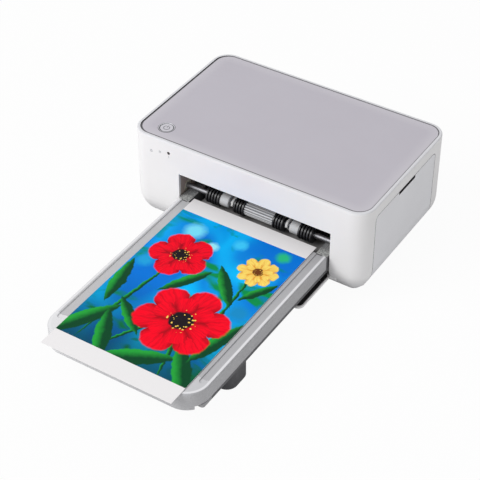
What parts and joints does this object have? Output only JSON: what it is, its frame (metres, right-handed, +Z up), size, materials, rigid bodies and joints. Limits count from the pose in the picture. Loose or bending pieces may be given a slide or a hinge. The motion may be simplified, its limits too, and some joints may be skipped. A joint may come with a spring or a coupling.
{
  "type": "compact photo printer",
  "caption": "Small white desktop photo printer with a front cassette, hinged front flap, side ribbon door, feed rollers and a finished print on the cover.",
  "frame": {"origin": "on the desk, under the middle of the whole object's box", "axes": "+X along the front to the right, +Y from the front to the rear, +Z up"},
  "size_m": [0.1944, 0.299, 0.084],
  "materials": {
    "housing_white": "satin white moulded plastic",
    "top_lavender": "satin light grey panel",
    "foot_rubber": "matt rubber",
    "bright_steel": "zinc-plated steel",
    "plated_ring": "satin plated ring",
    "button_cap": "moulded cap",
    "board_green": "circuit board",
    "lens_clear": "light pipe",
    "lens_black": "dark window",
    "lining_dark": "dark lining",
    "flap_white": "satin white flap",
    "door_white": "satin white door",
    "roller_grey": "light grey rubber",
    "collar_black": "black moulded collar",
    "hook_white": "white moulded hook",
    "gear_ivory": "acetal gear",
    "motor_can": "motor can",
    "brass": "brass pinion",
    "platen_rubber": "platen rubber",
    "heat_alu": "extruded aluminium",
    "head_ceramic": "print head bar",
    "cartridge_grey": "moulded cartridge case",
    "spool_dark": "moulded spool",
    "film_amber": "ink film",
    "chip_black": "components",
    "inlet_black": "power inlet",
    "cassette_dark": "dark grey moulded plastic",
    "cover_smoke": "smoked translucent plastic",
    "paper_white": "photo paper",
    "print_face": "glossy printed face"
  },
  "bodies": {
    "housing": {"housing_shell": "housing_white", "base_pan": "housing_white", "rubber_feet": "foot_rubber", "case_screws": "bright_steel", "top_plate": "top_lavender", "button_ring": "plated_ring", "button_switch": "board_green", "status_lenses": "lens_clear", "sensor_window": "lens_black", "opening_frame": "lining_dark", "rear_lining": "lining_dark", "slot_bezel": "lining_dark", "flap_pins": "bright_steel", "door_pins": "bright_steel", "door_catch": "bright_steel", "left_plate": "bright_steel", "right_plate": "bright_steel", "tie_bars": "bright_steel", "shaft_bushes": "gear_ivory", "sheet_hooks": "hook_white", "idler_posts": "bright_steel", "drive_motor": "motor_can", "head_pivot": "bright_steel", "ribbon_case": "cartridge_grey", "ribbon_film": "film_amber", "main_board": "board_green", "board_parts": "chip_black", "power_inlet": "inlet_black"},
    "button": {"power_button": "button_cap"},
    "flap": {"front_flap": "flap_white"},
    "door": {"ribbon_door": "door_white"},
    "feed": {"feed_shaft": "bright_steel", "centre_roller": "roller_grey", "side_rollers": "roller_grey", "ribbed_collars": "collar_black", "feed_gear": "gear_ivory"},
    "idler_a": {"idler_gear_a": "gear_ivory"},
    "idler_b": {"idler_gear_b": "gear_ivory"},
    "grip": {"grip_roller": "bright_steel", "grip_gear": "gear_ivory"},
    "pinion": {"motor_pinion": "brass"},
    "platen": {"platen_core": "bright_steel", "platen_sleeve": "platen_rubber"},
    "pinch": {"pinch_roller": "bright_steel"},
    "head": {"head_arm": "bright_steel", "heat_sink": "heat_alu", "thermal_head": "head_ceramic"},
    "supply": {"supply_spool": "spool_dark"},
    "takeup": {"takeup_spool": "spool_dark", "takeup_gear": "gear_ivory"},
    "cassette": {"tray_base": "cassette_dark", "tray_leg": "cassette_dark", "cover_pins": "bright_steel"},
    "cover": {"tray_cover": "cover_smoke"},
    "lift": {"lift_plate": "bright_steel", "paper_stack": "paper_white"},
    "print": {"print_sheet": "print_face"}
  },
  "joints": [
    {"name": "power_press", "type": "slide", "parent": "housing", "child": "button", "axis": [0, 0, -1], "range_m": [0, 0.0008], "stiffness_N_per_m": 500},
    {"name": "flap_hinge", "type": "hinge", "parent": "housing", "child": "flap", "pos_m": [0.0076, 0.0294, 0.0186], "axis": [-1, 0, 0], "range_deg": [0, 8]},
    {"name": "door_hinge", "type": "hinge", "parent": "housing", "child": "door", "pos_m": [0.09151, 0.0854, 0.0179], "axis": [0, 1, 0], "range_deg": [0, 90]},
    {"name": "cassette_slide", "type": "slide", "parent": "housing", "child": "cassette", "axis": [0, -1, 0], "range_m": [0, 0.03]},
    {"name": "cover_hinge", "type": "hinge", "parent": "cassette", "child": "cover", "pos_m": [0.0076, -0.134, 0.0285], "axis": [1, 0, 0], "range_deg": [0, 90]},
    {"name": "print_pull", "type": "slide", "parent": "cover", "child": "print", "axis": [0, -1, 0], "range_m": [0, 0.12]},
    {"name": "lift_hinge", "type": "hinge", "parent": "cassette", "child": "lift", "pos_m": [0.0076, -0.1274, 0.0289], "axis": [1, 0, 0], "range_deg": [0, 1]},
    {"name": "grip_spin", "type": "hinge", "parent": "housing", "child": "grip", "pos_m": [0.0076, 0.1045, 0.0374], "axis": [1, 0, 0], "continuous": true},
    {"name": "feed_spin", "type": "hinge", "parent": "housing", "child": "feed", "pos_m": [0.0076, 0.0385, 0.0418], "axis": [1, 0, 0], "continuous": true},
    {"name": "idler_a_spin", "type": "hinge", "parent": "housing", "child": "idler_a", "pos_m": [-0.062, 0.05842, 0.04006], "axis": [1, 0, 0], "continuous": true},
    {"name": "idler_b_spin", "type": "hinge", "parent": "housing", "child": "idler_b", "pos_m": [-0.062, 0.07957, 0.02871], "axis": [1, 0, 0], "continuous": true},
    {"name": "pinion_spin", "type": "hinge", "parent": "housing", "child": "pinion", "pos_m": [-0.062, 0.12026, 0.02509], "axis": [1, 0, 0], "continuous": true},
    {"name": "takeup_spin", "type": "hinge", "parent": "housing", "child": "takeup", "pos_m": [0.0076, 0.11244, 0.06047], "axis": [1, 0, 0], "continuous": true},
    {"name": "supply_spin", "type": "hinge", "parent": "housing", "child": "supply", "pos_m": [0.0076, 0.0625, 0.06047], "axis": [1, 0, 0], "continuous": true},
    {"name": "platen_spin", "type": "hinge", "parent": "housing", "child": "platen", "pos_m": [0.0076, 0.0865, 0.0354], "axis": [1, 0, 0], "continuous": true},
    {"name": "pinch_spin", "type": "hinge", "parent": "housing", "child": "pinch", "pos_m": [0.0076, 0.1045, 0.0442], "axis": [1, 0, 0], "continuous": true},
    {"name": "head_lift", "type": "hinge", "parent": "housing", "child": "head", "pos_m": [0.0076, 0.1325, 0.071], "axis": [-1, 0, 0], "range_deg": [0, 3]}
  ],
  "couplings": [
    {"joint": "idler_b_spin", "follows": "grip_spin", "ratio": -1.2},
    {"joint": "idler_a_spin", "follows": "grip_spin", "ratio": 1.2},
    {"joint": "feed_spin", "follows": "grip_spin", "ratio": -1.8},
    {"joint": "pinion_spin", "follows": "grip_spin", "ratio": -2.5714},
    {"joint": "takeup_spin", "follows": "grip_spin", "ratio": -1.44}
  ]
}
